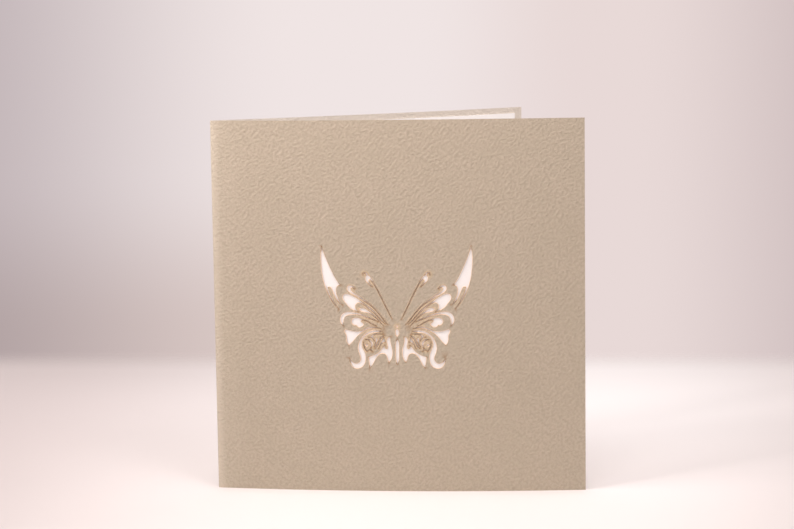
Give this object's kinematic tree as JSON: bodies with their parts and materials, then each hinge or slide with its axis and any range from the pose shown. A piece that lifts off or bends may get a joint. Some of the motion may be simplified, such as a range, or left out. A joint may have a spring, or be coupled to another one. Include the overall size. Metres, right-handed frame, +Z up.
{
  "type": "pop-up card",
  "caption": "Square folded greeting card standing slightly open, with a filigree butterfly window in its front over a white liner, and a paper butterfly held off both pages inside.",
  "frame": {"origin": "centre of the object's box in plan, on the surface that the card stands on", "axes": "+Z up along the fold; +X from the fold towards the free edges, along the chord of the front panel; +Y from the front panel towards the back panel"},
  "size_m": [0.1498, 0.0918, 0.15],
  "materials": {
    "cover_board": "matte felt-marked card",
    "liner_paper": "smooth matte",
    "popup_paper": "smooth matte",
    "strut_paper": "smooth matte"
  },
  "bodies": {
    "root": {"cover": "cover_board", "liner": "liner_paper", "popup_butterfly": "popup_paper", "inner_strut_front": "strut_paper", "inner_strut_back": "strut_paper", "outer_strut_front": "strut_paper", "outer_strut_back": "strut_paper"}
  },
  "joints": []
}
